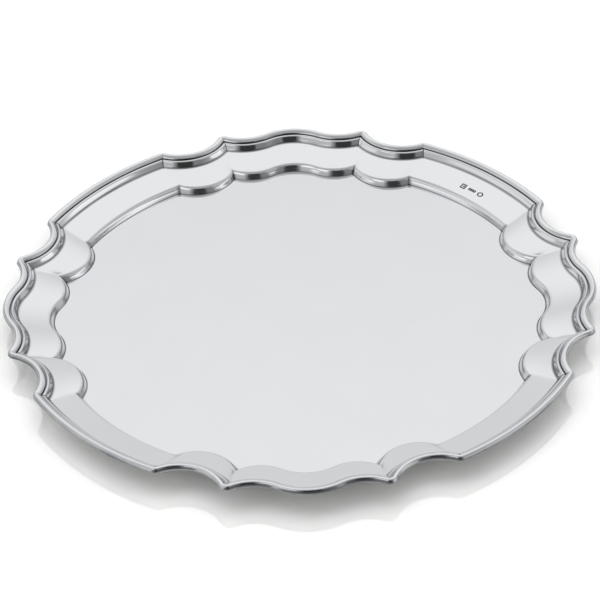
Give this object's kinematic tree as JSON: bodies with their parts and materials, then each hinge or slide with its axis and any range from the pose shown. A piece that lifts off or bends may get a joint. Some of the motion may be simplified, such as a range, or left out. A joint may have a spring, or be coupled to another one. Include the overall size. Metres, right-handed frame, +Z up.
{
  "type": "salver",
  "caption": "Round silver salver with a flat field, a raised sloped band and a shaped border of mitred cove, bead and roll moulding, standing on its flat base.",
  "frame": {"origin": "centre of the flat base, on the surface the salver stands on", "axes": "+Z up; a bracket of the border points along each of +X, +Y, -X and -Y"},
  "size_m": [0.306, 0.306, 0.0136],
  "materials": {
    "plate_silver": "polished sheet silver with a soft, hand-polished sheen",
    "border_silver": "bright polished cast silver moulding"
  },
  "bodies": {
    "root": {"plate": "plate_silver", "bracket_east": "border_silver", "bracket_north": "border_silver", "bracket_west": "border_silver", "bracket_south": "border_silver", "scoop_1": "border_silver", "scoop_2": "border_silver", "scoop_3": "border_silver", "scoop_4": "border_silver", "scoop_5": "border_silver", "scoop_6": "border_silver", "scoop_7": "border_silver", "scoop_8": "border_silver", "long_arc_ne": "border_silver", "long_arc_nw": "border_silver", "long_arc_sw": "border_silver", "long_arc_se": "border_silver"}
  },
  "joints": []
}
